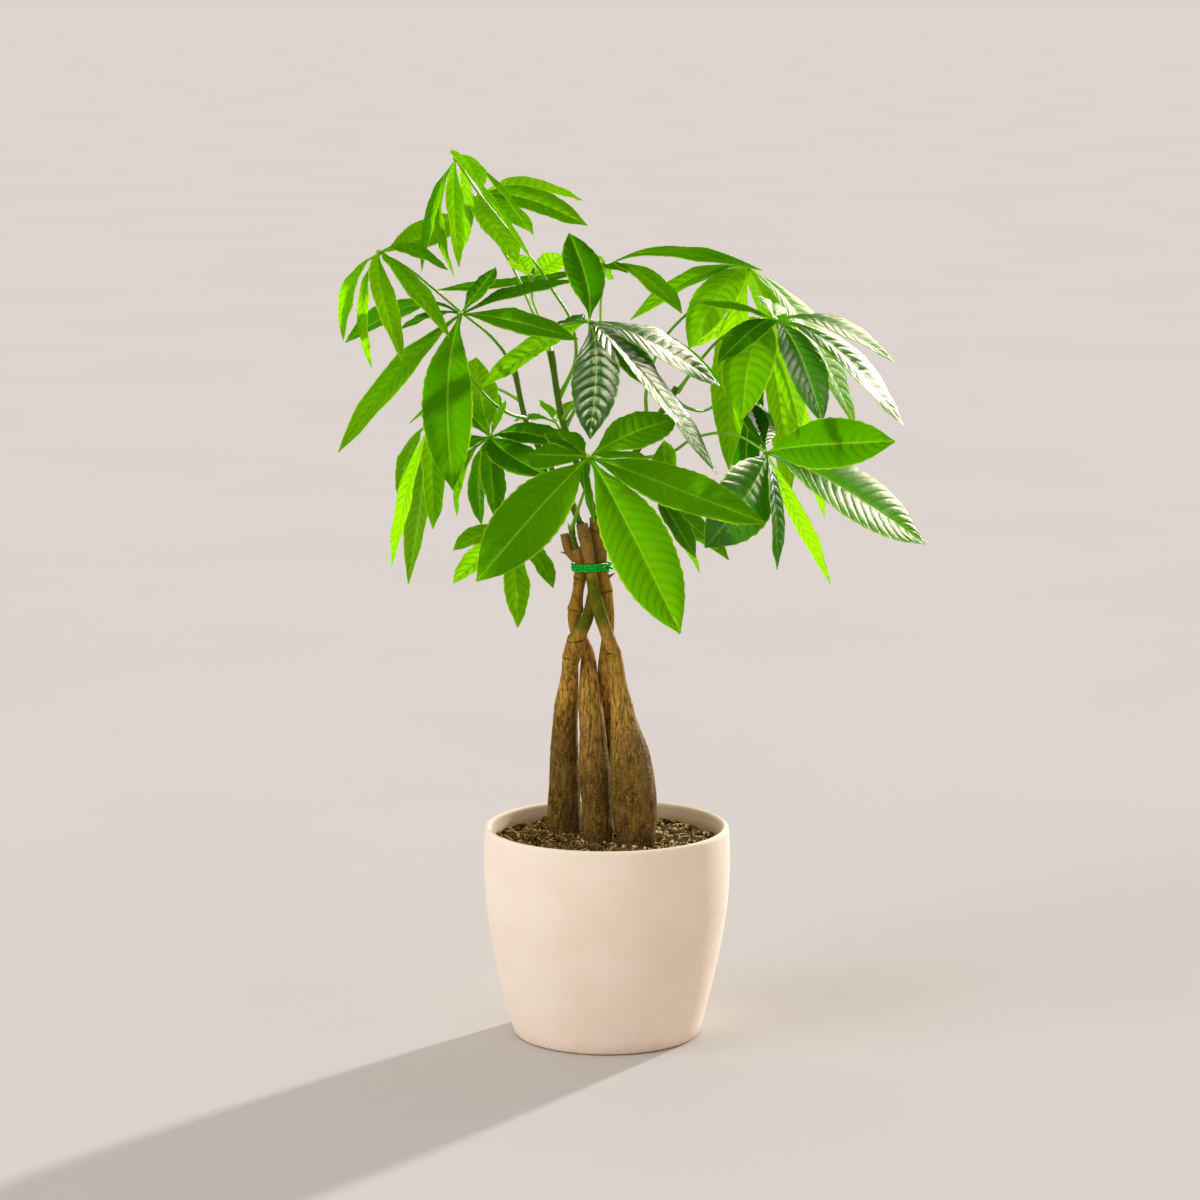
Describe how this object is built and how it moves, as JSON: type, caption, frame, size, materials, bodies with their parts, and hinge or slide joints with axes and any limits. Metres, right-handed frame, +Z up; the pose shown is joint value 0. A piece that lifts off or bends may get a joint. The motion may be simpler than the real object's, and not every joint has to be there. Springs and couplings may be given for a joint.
{
  "type": "potted money tree",
  "caption": "Braided money tree with palmate leaves on long petioles, tied below the crown and planted in a plain round pot.",
  "frame": {"origin": "centre of the pot's foot, on the surface it stands on", "axes": "+Z up, +X to the viewer's right, +Y away from the viewer"},
  "size_m": [0.4423, 0.3652, 0.6933],
  "materials": {
    "pot": "matt, fine-grained, unglazed",
    "soil": "loose dark potting mix with pale fibres",
    "bark": "matt fibrous bark, greener near the top",
    "tie": "glossy green coated wire",
    "green_stem": "smooth satin green stem",
    "leaf": "glossy living leaf, quilted between its veins"
  },
  "bodies": {
    "root": {"pot": "pot", "soil": "soil", "trunk_left": "bark", "trunk_middle": "bark", "trunk_right": "bark", "trunk_back": "bark", "twist_tie": "tie", "shoot_front": "green_stem", "shoot_left": "green_stem", "shoot_middle": "green_stem", "shoot_right": "green_stem", "leaf_01": "leaf", "leaf_02": "leaf", "leaf_03": "leaf", "leaf_04": "leaf", "leaf_05": "leaf", "leaf_06": "leaf", "leaf_07": "leaf", "leaf_08": "leaf", "leaf_09": "leaf", "leaf_10": "leaf", "leaf_11": "leaf", "leaf_12": "leaf", "leaf_13": "leaf", "leaf_14": "leaf", "leaf_15": "leaf", "leaf_16": "leaf", "leaf_17": "leaf", "leaf_18": "leaf"}
  },
  "joints": []
}
